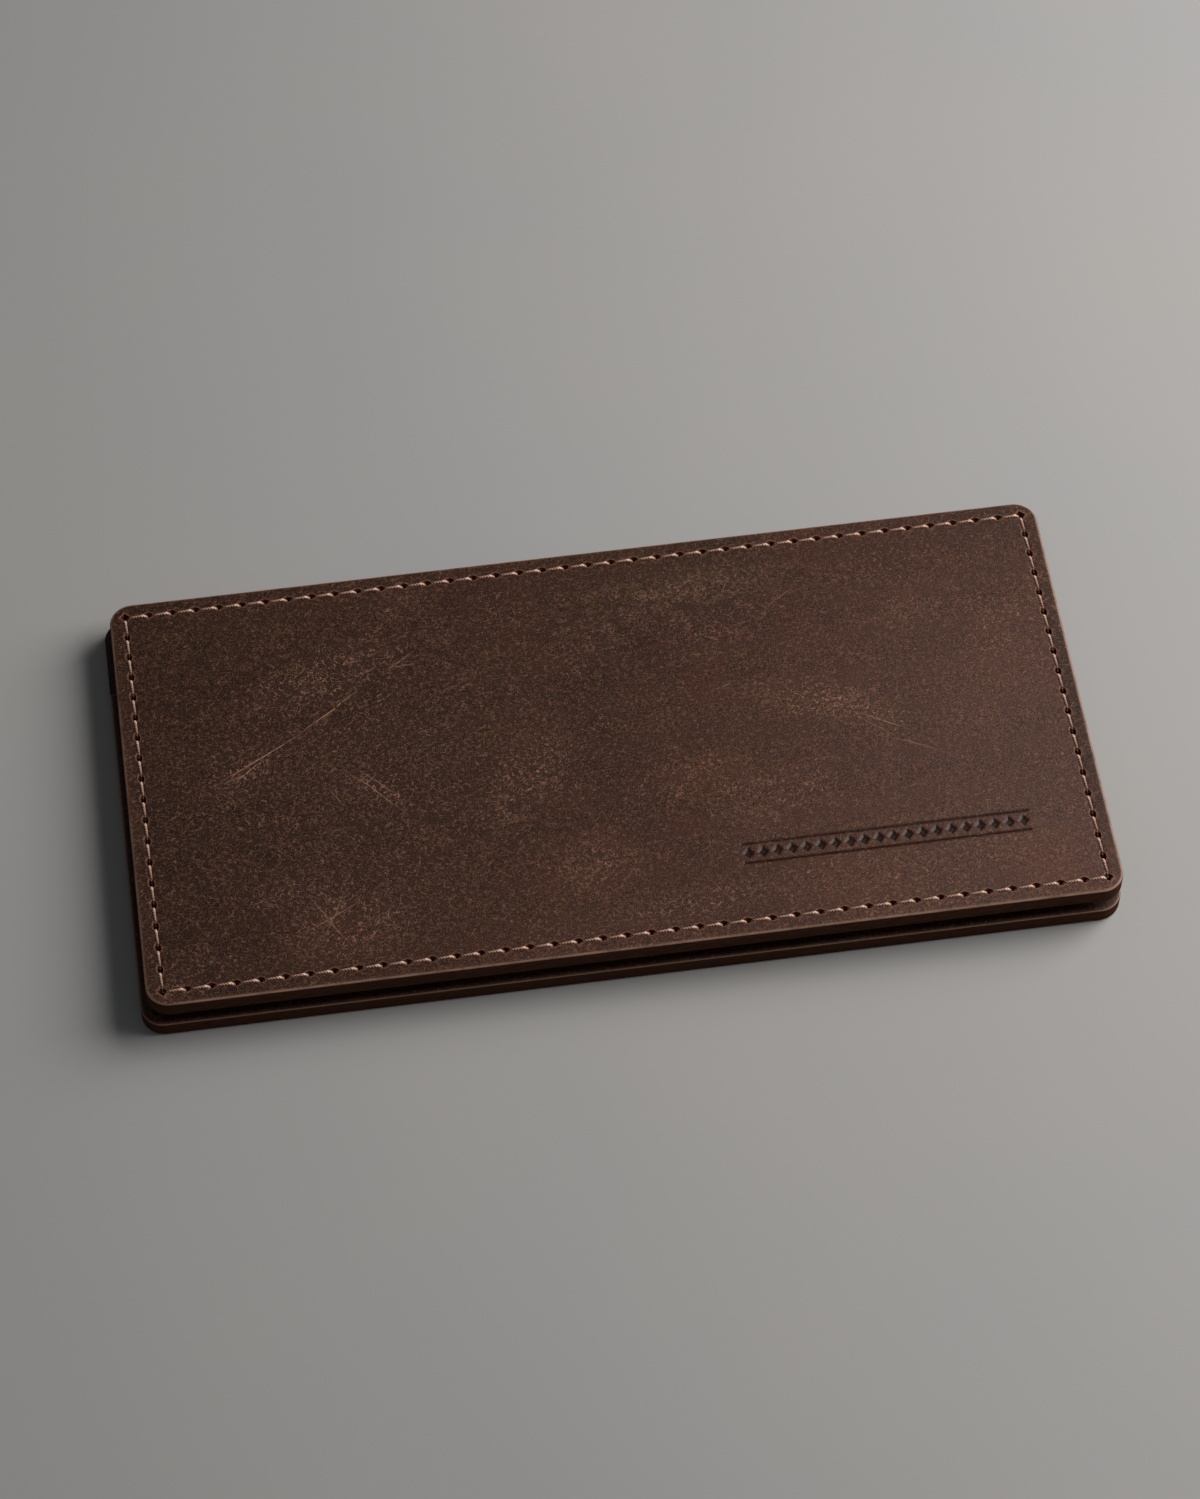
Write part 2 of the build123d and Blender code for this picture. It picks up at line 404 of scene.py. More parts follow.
class Wire:
    """One shader socket that takes part in ordinary arithmetic: each sign adds the Math node for it."""

    def __init__(self, finish, socket):
        self.finish, self.socket = finish, socket

    def math(self, operation, *values):
        return self.finish.node("ShaderNodeMath", dict(enumerate(values)), operation=operation)

    def __add__(self, other):
        return self.math("ADD", self, other)

    def __sub__(self, other):
        return self.math("SUBTRACT", self, other)

    def __rsub__(self, other):
        return self.math("SUBTRACT", other, self)

    def __mul__(self, other):
        return self.math("MULTIPLY", self, other)

    def __abs__(self):
        return self.math("ABSOLUTE", self)

    __radd__, __rmul__ = __add__, __mul__

    def sine(self):
        return self.math("SINE", self)

    def at_least(self, other):
        return self.math("MAXIMUM", self, other)

    def step(self, start, end):
        """Rises smoothly from 0 at start to 1 at end, or falls where end is the smaller."""
        inputs = {"Value": self, "From Min": start, "From Max": end}
        return self.finish.node("ShaderNodeMapRange", inputs, interpolation_type="SMOOTHSTEP")

    def line(self, middle, width):
        """1 where the value is the middle one, falling to 0 at width to each side: thin lines, in a noise."""
        return abs(self - middle).step(width, 0)


def paint(red, green, blue):
    """A colour given as the numbers, to 255, that a screen shows."""
    shares = np.array([red, green, blue]) / 255
    return (*np.where(shares <= 0.04045, shares / 12.92, ((shares + 0.055) / 1.055) ** 2.4), 1.0)


class Finish:
    """A material, built up from nodes in code."""

    def __init__(self, name):
        self.material = bpy.data.materials.new(name)
        self.material.use_nodes = True
        self.tree = self.material.node_tree
        self.surface = self.tree.nodes["Principled BSDF"]
        self.place = self.node("ShaderNodeTexCoord", output="Object")

    def node(self, kind, inputs=None, output=0, **settings):
        """Adds a node with its settings and its inputs' values or links, and gives one of its outputs."""
        node = self.tree.nodes.new(kind)
        for name, value in settings.items():
            setattr(node, name, value)
        for name, value in (inputs or {}).items():
            self.feed(node.inputs[name], value)
        return Wire(self, node.outputs[output])

    def feed(self, socket, value):
        if isinstance(value, Wire):
            self.tree.links.new(value.socket, socket)
        else:
            socket.default_value = value

    def set(self, **values):
        """Gives the surface its values. Words in a name are joined by an underscore."""
        for name, value in values.items():
            self.feed(self.surface.inputs[name.replace("_", " ")], value)

    def mapped(self, middle=(0, 0, 0), turn=0.0, reach=(1, 1, 1), place=None):
        """The place as seen from a middle, turned, and divided by the reach along each axis."""
        inputs = {"Vector": place or self.place, "Location": middle, "Rotation": (0, 0, turn), "Scale": reach}
        return self.node("ShaderNodeMapping", inputs, vector_type="TEXTURE")

    def noise(self, size, detail=2.0, roughness=0.5, turn=0.0, stretch=1.0, seed=0.0):
        """Smooth noise from 0 to 1 with lumps about size long, drawn out along one way."""
        place = self.mapped((seed, 0, 0), turn, (size * stretch, size, size))
        inputs = {"Vector": place, "Scale": 1.0, "Detail": detail, "Roughness": roughness}
        return self.node("ShaderNodeTexNoise", inputs)

    def cells(self, size):
        """Distance from the middle of the nearest of many loose cells, as a share of size, and its random
        colour."""
        inputs = {"Vector": self.mapped(reach=(size, size, size)), "Scale": 1.0}
        distance = self.node("ShaderNodeTexVoronoi", inputs)
        return distance, Wire(self, distance.socket.node.outputs["Color"])

    def spot(self, middle, reach, turn=0.0, place=None):
        """1 at a middle on the panel, falling smoothly to 0 at the outline of an ellipse about it, with both
        given in millimetres."""
        middle, reach = np.array(middle) * mm, np.array(reach) * mm
        place = self.mapped((*middle, 0.0), turn, (*reach, 1.0), place)
        return self.node("ShaderNodeVectorMath", {0: place}, output="Value", operation="LENGTH").step(1, 0.1)

    def wandering(self, size, reach):
        """The place moved to and fro by a noise, to bend what is drawn at it."""
        place = self.mapped(reach=(size, size, size))
        push = self.node("ShaderNodeTexNoise", {"Vector": place, "Scale": 1.0, "Detail": 1.0}, output="Color")
        push = self.node("ShaderNodeVectorMath", {0: push, 1: (0.5, 0.5, 0.5)}, operation="SUBTRACT")
        inputs = {0: push, 1: (2 * reach, 2 * reach, 0), 2: self.place}
        return self.node("ShaderNodeVectorMath", inputs, operation="MULTIPLY_ADD")

    def mix(self, share, one, other):
        """A colour between two, by a share from 0 to 1."""
        return self.node("ShaderNodeMix", {0: share, 6: one, 7: other}, output=2, data_type="RGBA")

    def part(self, vector, axis):
        return self.node("ShaderNodeSeparateXYZ", {0: vector}, output="XYZ".index(axis))

    def mark(self, name):
        return self.node("ShaderNodeAttribute", output="Fac", attribute_name=name)

    def bump(self, height, distance):
        return self.node("ShaderNodeBump", {"Height": height, "Distance": distance})


# Waxed pull-up leather: how large its clouds, tints, scuffs, strokes and grain are, and its colours.
cloud_size = 34 * mm
tint_size = 13 * mm
scuff_size = 15 * mm
sway_size = 9 * mm
curl_size = 0.75 * mm
hair_size = 0.5 * mm
break_size = 0.8 * mm
bend_size = 6 * mm
bend_reach = 0.45 * mm
speck_spacing = 1.3 * mm
grain_size = 0.18 * mm
grain_height = 0.05 * mm
leather_sheen = 0.27
red_tint = 74, 36, 24
olive_tint = 48, 34, 19
scuffed_dye = 82, 54, 38
pit_dye = 10, 4, 2
light_grain = 146, 94, 62
bare_fibre = 186, 136, 112


def leather(name, ground, worn, strokes=1.0, tints_and_painted_light=(), marks=(), scratches=()):
    """Waxed pull-up leather. Slow clouds shade the dye, and where it is bent or rubbed the wax breaks into
    short light strokes, which are thin level lines of a fine noise, over a grain of dark pits and light
    fibres. tints_and_painted_light are placed tints, some of them painted light and shade: middle, reach,
    colour and share. marks are scuffs: middle, reach, turn and share. scratches are long and thin: start,
    end, width and share, and each spot of light is longer and wider than its scratch, as it fades to
    nothing at its outline. All lengths in them are in millimetres.
    Gives the finish, its colour and its roughness."""
    finish = Finish(name)
    cloud = finish.noise(cloud_size, 3, 0.55, seed=0.11).step(0.33, 0.68)
    tint = finish.noise(tint_size, seed=0.57)
    scuffed = finish.noise(scuff_size, 3, 0.6, turn=0.5, stretch=1.5, seed=0.83).step(0.46, 0.74) * 0.36
    for middle, reach, turn, share in marks:
        scuffed = scuffed.at_least(finish.spot(middle, reach, turn) * share)
    sway = finish.noise(sway_size, 1, seed=0.31)
    curls = finish.noise(curl_size, 1, turn=0.55, stretch=1.6).line(0.5, 0.04)
    fine = finish.noise(hair_size, 0, turn=-0.6, stretch=1.7, seed=0.4).line(0.48, 0.05)
    broken = finish.noise(break_size, 1, seed=0.7).step(0.38, 0.58)
    stroke = (curls * sway.step(0.75, 0.35)).at_least(fine * sway.step(0.3, 0.6)) * broken
    scratched = 0.0
    bent = finish.wandering(bend_size, bend_reach) if scratches else None
    for start, end, width, share in scratches:
        middle, way = (np.array(start) + end) / 2, np.array(end) - start
        reach = 0.65 * np.linalg.norm(way), 1.3 * width
        line = finish.spot(middle, reach, math.atan2(way[1], way[0]), bent)
        scratched = (line * share).at_least(scratched)
    distance, chance = finish.cells(speck_spacing)
    speck = distance.step(0.15, 0.05) * finish.part(chance, "X").step(0.5, 0.9)
    grain = finish.noise(grain_size, 1, seed=0.2)
    colour = finish.mix(cloud, paint(*ground), paint(*worn))
    colour = finish.mix(tint.step(0.52, 0.75) * 0.3, colour, paint(*red_tint))
    colour = finish.mix(tint.step(0.46, 0.25) * 0.25, colour, paint(*olive_tint))
    # Placed tints, some of them painted shade, painted sheen and painted light on the border strips.
    for middle, reach, shade, share in tints_and_painted_light:
        colour = finish.mix(finish.spot(middle, reach) * share, colour, paint(*shade))
    colour = finish.mix(scuffed * 0.2, colour, paint(*scuffed_dye))
    stroke = stroke * (0.23 + 0.55 * scuffed) * strokes
    if scratches:
        stroke = stroke.at_least(scratched * finish.noise(break_size, 1, seed=0.9).step(0.25, 0.5))
    colour = finish.mix(grain.step(0.58, 0.3) * 0.8, colour, paint(*pit_dye))
    colour = finish.mix(grain.step(0.48, 0.8) * 0.42, colour, paint(*light_grain))
    colour = finish.mix(stroke.at_least(speck * 0.4 * strokes), colour, paint(*bare_fibre))
    height = grain * 0.5 + stroke * 0.8
    finish.set(Specular_IOR_Level=leather_sheen, Normal=finish.bump(height, grain_height))
    return finish, colour, 0.52 + 0.12 * scuffed + 0.1 * (grain - 0.5)


# Burnished edge: faint streaks along it, between two dyes.
streak_size = 2 * mm, 2 * mm, 0.3 * mm
streak_height = 0.06 * mm
edge_dyes = (62, 41, 31), (80, 53, 41)
side_tilt = 0.55


def burnished(name):
    """The sides of a cut edge: dyed dark, waxed and rubbed smooth along the edge, with faint streaks."""
    finish = Finish(name)
    place = finish.mapped(reach=streak_size)
    streak = finish.node("ShaderNodeTexNoise", {"Vector": place, "Scale": 1.0})
    colour = finish.mix(streak.step(0.25, 0.75), *(paint(*dye) for dye in edge_dyes))
    finish.set(
        Base_Color=colour,
        Roughness=0.42 + 0.2 * streak,
        Specular_IOR_Level=0.0,
        Normal=finish.bump(streak, streak_height),
    )
    return finish


def give_sides(piece, cover, finish):
    """Puts a second finish on the faces that stand across the cover: the cut and rubbed sides of a layer."""
    piece.data.materials.append(finish.material)
    normals = np.zeros(3 * len(piece.data.polygons), np.float32)
    piece.data.polygons.foreach_get("normal", normals)
    side = np.abs(normals.reshape(-1, 3) @ cover.inward) < side_tilt
    piece.data.polygons.foreach_set("material_index", side.astype(np.int32))


# Dyes, placed tints, scuffs and scratches of each face, as leather takes them. Some of the front's placed tints
# are painted light.
face_dyes = (43, 20, 9), (58, 31, 18)
crest_wear_and_painted_highlight = 162, 126, 108
rim_fibre = 160, 102, 78
painted_row_shade = 20, 11, 8
pressed_dye = 20, 10, 6
painted_hole_shade = 12, 7, 5
front_tints_and_painted_light = (
    # The first two are painted light: a painted shade that darkens the left half, and a painted sheen that
    # lightens the right half.
    ((-76, 0), (84, 84), (26, 8, 0), 0.62),
    ((76, -10), (72, 68), (112, 78, 68), 0.34),
    ((-60, 33), (24, 9), (48, 32, 13), 0.5),
    ((19, 32), (22, 8), (64, 46, 28), 0.45),
    ((-5, -24), (17, 12), (78, 42, 27), 0.3),
    ((-50, -33), (14, 8), (76, 42, 28), 0.4),
    ((17, -8), (13, 8), (80, 42, 26), 0.35),
    ((72, -33), (13, 10), (100, 56, 41), 0.35),
    ((26, -36), (78, 26), (96, 60, 45), 0.26),
    # The last two are painted light on the border strips: painted shade on the right strip and a painted highlight
    # on the left one, as their slope takes the light.
    ((83, 0), (3.6, 52), (16, 8, 4), 0.7),
    ((-83, 0), (3.4, 50), (96, 62, 44), 0.3),
)
front_scuffs = (
    ((-47, 21), (24, 9), 0.35, 0.75),
    ((-40, -3), (13, 5), -0.75, 0.6),
    ((-51, -27), (15, 9), 0.9, 0.7),
    ((-13, -3), (16, 10), 0.9, 0.55),
    ((40, 4), (19, 6), -0.3, 0.9),
    ((19, 31), (24, 6), 0.1, 0.5),
    ((-5, -24), (14, 8), 0.1, 0.5),
    ((57, 21), (8, 5), 0.2, 0.4),
    ((-63, 3), (13, 10), 0.6, 0.6),
    ((-58, -22), (9, 4), 0.3, 0.8),
    ((-44, -31), (13, 9), 0.4, 0.7),
    ((-18, -10), (9, 6), -0.6, 0.5),
    ((24, 22), (14, 7), 0.4, 0.35),
    ((10, -34), (24, 5), 0.1, 0.45),
    ((62, -29), (16, 6), 0.1, 0.35),
    ((-42, -2), (60, 50), 0.0, 0.26),
)
back_scuffs = (
    ((30, -12), (34, 10), 0.25, 0.7),
    ((-44, 14), (20, 11), -0.5, 0.6),
    ((-8, -27), (22, 6), 0.1, 0.5),
)
front_scratches = (
    ((-65.8, 1.9), (-51.0, 10.3), 0.13, 0.8),
    ((-51.6, 10.0), (-40.4, 17.8), 0.13, 0.75),
    ((-64.6, 0.9), (-58.1, 5.6), 0.13, 0.7),
    ((-66.4, 0.8), (-60.5, 3.6), 0.11, 0.5),
    ((-35.5, 21.0), (-30.13, 24.7), 0.12, 0.5),
    ((-34.8, 21.7), (-29.6, 22.0), 0.11, 0.45),
    ((-51.7, 21.4), (-48.9, 23.7), 0.11, 0.45),
    ((-44.2, 1.1), (-35.1, -9.0), 0.13, 0.5),
    ((-42.0, 0.6), (-36.4, -4.8), 0.11, 0.45),
    ((-48.3, -1.4), (-45.0, -6.9), 0.11, 0.4),
    ((-76.0, -5.1), (-72.6, -2.9), 0.11, 0.4),
    ((-54, -22), (-47.5, -34), 0.12, 0.45),
    ((-56, -31), (-44, -25), 0.12, 0.45),
    ((-52, -33), (-47, -22), 0.11, 0.4),
    ((44.6, 1.0), (52.6, -3.7), 0.13, 0.55),
    ((47.6, -4.2), (59.4, -10.0), 0.11, 0.35),
    ((45.4, -0.6), (50.4, -4.8), 0.11, 0.45),
    ((20.13, 8.7), (24.9, 10.4), 0.12, 0.4),
    ((32.2, 25.2), (37.8, 28.8), 0.11, 0.35),
)
back_scratches = (
    ((12, -22), (39, -9), 0.2, 0.5),
    ((-52, 22), (-38, 7), 0.2, 0.45),
    ((-16, 12), (5, 19), 0.16, 0.35),
)

edge_finish = burnished("burnished_edge")
for cover in covers:
    piece, points = outer_leather(cover, tooled=cover is front)
    mark_wear_and_painted_light(piece, points, cover)
    scuffs, scratches = (front_scuffs, front_scratches) if cover is front else (back_scuffs, back_scratches)
    tints_and_painted_light = front_tints_and_painted_light if cover is front else ()
    name = f"{cover.name}_pull_up_leather"
    finish, colour, roughness = leather(name, *face_dyes, tints_and_painted_light=tints_and_painted_light, marks=scuffs, scratches=scratches)
    # The edge's crest: rubbed light by wear, and given a painted highlight.
    crest_wear_and_highlight_share = finish.mark("crest") * (0.5 + 0.5 * finish.noise(4 * mm, 4, 0.65).step(0.3, 0.62))
    colour = finish.mix(crest_wear_and_highlight_share, colour, paint(*crest_wear_and_painted_highlight))
    colour = finish.mix(0.65 * finish.mark("rim"), colour, paint(*rim_fibre))
    # Painted shade along the stitch rows, under the thread.
    colour = finish.mix(0.55 * finish.mark("row_painted_shade"), colour, paint(*painted_row_shade))
    colour = finish.mix(0.85 * finish.mark("pressed"), colour, paint(*pressed_dye))
    # Painted shade inside the awl holes.
    colour = finish.mix(finish.mark("hole"), colour, paint(*painted_hole_shade))
    finish.set(Base_Color=colour, Roughness=roughness - 0.2 * finish.mark("pressed"))
    piece.data.materials.append(finish.material)
    give_sides(piece, cover, edge_finish)
    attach(piece, cover.body)
    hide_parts(f"{cover.name}_face_leather")

# Cores: a fibre board in each cover, as long and deep as the leather on it.
# It is cut out along the fold for the flange of the spine strip, and only its
# rubbed edge shows.
board_thickness = 0.9 * mm
board_shades = (88, 66, 50), (112, 86, 66)
fibre_size = 0.6 * mm
lining_thickness = 0.4 * mm
pocket_thickness = 0.8 * mm
lining_level = face_thickness + board_thickness
pocket_level = lining_level + lining_thickness
stack_level = pocket_level + pocket_thickness
arc_steps = 16
strip_slot_half = 77.5 * mm
strip_shift = 0.65 * mm
flange_depth = 9.0 * mm
edge_swell = 0.02 * mm
swell_steps = 5


def layer_outline(cover, setback):
    """Outline of a flat layer, anticlockwise: four arcs, and along the fold a straight-sided slot that is cut
    back from the edge over the length of the spine strip."""
    turn = np.linspace(0, math.pi / 2, arc_steps)
    arcs = []
    for number, (side_u, side_v) in enumerate([(-1, -1), (1, -1), (1, 1), (-1, 1)]):
        way = turn + math.pi + number * math.pi / 2
        u = side_u * (cover.half_length - corner_radius) + corner_radius * np.cos(way)
        v = side_v * (cover.half_depth - corner_radius) + corner_radius * np.sin(way)
        arcs.append(np.stack([u, v], 1))
    shift = strip_shift * cover.right[0] if cover is back else 0
    slot_u = np.array([strip_slot_half, strip_slot_half, -strip_slot_half, -strip_slot_half]) + shift
    slot_v = cover.half_depth - np.array([0, setback, setback, 0])
    return np.concatenate([*arcs[:3], np.stack([slot_u, slot_v], 1), arcs[3]])


def flat_layer(name, cover, setback, low, high, swell):
    """A flat layer between two levels. Its rubbed edge swells outwards between them, as half a sine."""
    shell = Shell()
    outline = layer_outline(cover, setback)
    turn = np.roll(outline, -1, 0) - np.roll(outline, 1, 0)
    normal = np.stack([turn[:, 1], -turn[:, 0]], 1) / np.linalg.norm(turn, axis=1)[:, None]
    share = np.linspace(0, 1, swell_steps)[:, None]
    u, v = (outline[:, axis] + swell * np.sin(math.pi * share) * normal[:, axis] for axis in (0, 1))
    rings = shell.add(u, v, low + (high - low) * share)
    shell.grid(np.concatenate([rings, rings[:, :1]], 1))
    shell.faces += [rings[0].tolist(), rings[-1].tolist()]
    return shell.finished(name, cover)[0]


board_finish = Finish("fibre_board")
fibre = board_finish.noise(fibre_size, 3)
board_finish.set(
    Base_Color=board_finish.mix(fibre, *(paint(*shade) for shade in board_shades)),
    Roughness=0.7 + 0.2 * fibre,
)
for cover in covers:
    board = flat_layer(f"{cover.name}_board", cover, flange_depth, face_thickness, lining_level, edge_swell)
    board.data.materials.append(board_finish.material)
    give_sides(board, cover, edge_finish)
    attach(board, cover.body)
    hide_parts(f"{cover.name}_stiffener")

# Spine: one strip of leather that joins the covers. A flange at each side is
# glued and sewn in between leather and lining, and the free web between them
# bends at two lines where it is pared thinner. It is made as two halves that
# meet in the middle of the web.
spine_thickness = 0.9 * mm
pared_thickness = 0.7 * mm
paring = 0.3 * mm, 2.2 * mm
strip_half_length = 77.0 * mm
strip_lines = 90
flange_reach = flange_depth - 0.7 * mm
flange_steps = 14
bend_steps = 9
web_steps = 8
fold_round = 0.6 * mm
fold_reach = 1.1 * mm
web_bow = 0.3 * mm
folds = {joint["name"]: np.array(joint["pos_m"], float) for joint in frame["joints"]}
back_fold, front_fold = folds["spine_fold"], folds["cover_fold"]


def spine_half(cover, fold, other_fold):
    """Half of the strip: a centre line that runs along the flange, round the fold as a quadratic curve and up
    the web to its middle, with the leather's thickness to both sides of it, drawn out along the fold."""
    web = (other_fold - fold) / 2
    web_length = np.linalg.norm(web)
    along_web, into_fold = web / web_length, cover.up
    flange = fold - into_fold * np.linspace(flange_reach, fold_round, flange_steps)[:-1, None]
    share = np.linspace(0, 1, bend_steps)[:, None]
    bend = (
        (1 - share) ** 2 * (fold - fold_round * into_fold)
        + 2 * share * (1 - share) * fold
        + share**2 * (fold + fold_round * along_web)
    )
    rise = fold + along_web * np.linspace(fold_round, web_length, web_steps)[1:, None]
    line = np.concatenate([flange, bend, rise])
    up_web = np.clip((line - fold) @ along_web, 0, None)
    line = line + into_fold * (web_bow * np.sin(math.pi / 2 * up_web / web_length) ** 2)[:, None]
    tangent = np.gradient(line, axis=0)
    tangent[-1] = along_web
    side = np.cross(tangent, [1, 0, 0])
    side /= np.linalg.norm(side, axis=1)[:, None]
    from_fold = np.linalg.norm(line - fold, axis=1)
    half = (pared_thickness + (spine_thickness - pared_thickness) * step(from_fold, *paring)) / 2
    shell = Shell()
    x = np.linspace(-strip_half_length, strip_half_length, strip_lines)[:, None] + fold[0]
    faces = [line + sign * half[:, None] * side for sign in (1, -1)]
    one, other = (shell.add(x, face[:, 1], face[:, 2]) for face in faces)
    shell.grid(one)
    shell.grid(other)
    for first, second in ((one, other), (one.T, other.T)):
        shell.grid(np.stack([first[0], second[0]]))
        shell.grid(np.stack([first[-1], second[-1]]))
    piece, _ = shell.finished(f"{cover.name}_spine_half")
    return piece, fold - fold_reach * into_fold, fold + fold_reach * along_web


spine_dyes = (42, 24, 16), (56, 33, 23)
spine_finish, colour, roughness = leather("spine_pull_up_leather", *spine_dyes, strokes=0.7)
spine_finish.set(Base_Color=colour, Roughness=roughness)
for cover, fold, other in ((back, back_fold, front_fold), (front, front_fold, back_fold)):
    piece, on_cover, on_web = spine_half(cover, fold, other)
    piece.data.materials.append(spine_finish.material)
    if cover is back:
        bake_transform(piece)
    else:
        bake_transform(piece)
    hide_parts(f"{cover.name}_spine_flange", "spine_strip")

# Linings: thin leather over the whole inner face, cut back at the fold so that
# the spine can stand up. It shows between the pocket's mouth and the fold.
lining_setback = 1.4 * mm
slot_ease = 0.3 * mm
row_rim = 0.5 * mm
inner_hole_lines = np.array([0.18, 0.4, 0.62, 0.9]) * mm
inner_edge_lines = np.array([0, 0.05, 0.14, 0.3, 0.7, 1.2]) * mm
inner_hole_depth = 0.3 * mm
inner_hole_wall = 0.5, 1.3
inner_dip = 0.12 * mm
inner_dip_width = 0.45 * mm
inner_spacing = 1.8 * mm


def inner_relief(cover, u, v):
    """Depth of the holes and dips on an inner face, where the thread lies shallower."""
    x, y, long_row = cover.nearest_hole(u, v)
    shape = hole_shape(x, y, long_row)
    across = np.where(long_row, y, x)
    on_row = np.where(long_row, np.abs(u) < cover.row_u, np.abs(v) < cover.row_v)
    hole = inner_hole_depth * (1 - step(shape, *inner_hole_wall))
    return hole + inner_dip * hump(across, 0, inner_dip_width) * on_row


def lining(cover):
    """A closed thin sheet. Past the far row its edge is drawn back over the length of the spine strip."""
    shell = Shell()
    half_u, half_v = cover.half_length, cover.half_depth
    around = inner_hole_lines, inner_edge_lines
    u_lines = row_lines(-half_u, half_u, -cover.row_u, long_stitches + 1, cover.pitch_u, *around)
    v_lines = row_lines(-half_v, half_v, -cover.row_v, short_stitches + 1, cover.pitch_v, *around)
    inner = np.array([cover.row_u, cover.row_v]) - inner_hole_lines[-1]
    gap = inner_spacing / 2
    field_lines = [even_lines(gap - reach, reach - gap, inner_spacing, -gap, gap, gap) for reach in inner]
    shift = strip_shift * cover.right[0] if cover is back else 0

    def shape(level, relief):
        def placed(u, v):
            u, v = round_corners(u, v, half_u, half_v, corner_radius)
            slot = 1 - step(np.abs(u - shift), strip_slot_half - slot_ease, strip_slot_half + slot_ease)
            past_row = np.clip((v - cover.row_v - row_rim) / (stitch_margin - row_rim), 0, 1)
            v = v - lining_setback * slot * past_row
            return u, v, level - (inner_relief(cover, u, v) if relief else 0 * u)
        return placed

    lines, oblong = (u_lines, v_lines), (-inner, inner)
    top = stitched_face(shell, lines, oblong, field_lines, shape(pocket_level, True))
    points = np.concatenate(shell.points)[top]
    foot = shell.add(points[:, 0], points[:, 1], lining_level)
    shell.grid(np.stack([top, foot]))
    shell.faces.append(foot[:-1].tolist())
    return shell.finished(f"{cover.name}_inner_lining", cover)[0]


lining_dyes = (44, 26, 18), (54, 34, 25)
lining_finish, colour, roughness = leather("smooth_lining_leather", *lining_dyes, strokes=0.35)
lining_finish.set(Base_Color=colour, Roughness=roughness)
for cover in covers:
    piece = lining(cover)
    piece.data.materials.append(lining_finish.material)
    give_sides(piece, cover, edge_finish)
    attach(piece, cover.body)
    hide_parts(f"{cover.name}_lining")

# Pockets: one in each cover, for the pad of checks in the back one and its
# register in the front one. Each is sewn down on three sides. Its middle is
# pressed up a little, and its mouth, with a cut-out for a thumb, faces the fold.
mouth_stitches = 3
pocket_rise = 0.4 * mm
field_inset = 3.7 * mm
field_slope = 1.2 * mm
pocket_edge_round = 0.3 * mm
pocket_crest_inset = 0.12 * mm
pocket_crest_width = 0.13 * mm
thumb_half_width = 11.6 * mm
thumb_depth = 7.0 * mm
thumb_shoulder = 1.6 * mm
thumb_run = 24.0 * mm
free_edge = 1.5 * mm
mouth_crease = 1.7 * mm
mouth_crease_depth = 0.12 * mm
mouth_crease_width = 0.25 * mm
thumb_grid_half = 15 * mm
thumb_grid = 0.5 * mm
mouth_grid_depth = 3 * mm
mouth_grid = 0.3 * mm


def thumb_cut(u):
    """Depth of the thumb cut-out along the mouth: a parabola whose shoulders run smoothly into the straight
    mouth, as half the sum of it and of the root of its square and the shoulder's square."""
    bowl = thumb_depth * (1 - (np.clip(np.abs(u), 0, 2 * thumb_half_width) / thumb_half_width) ** 2)
    return (bowl + np.sqrt(bowl**2 + thumb_shoulder**2)) / 2 * (np.abs(u) < 2 * thumb_half_width)


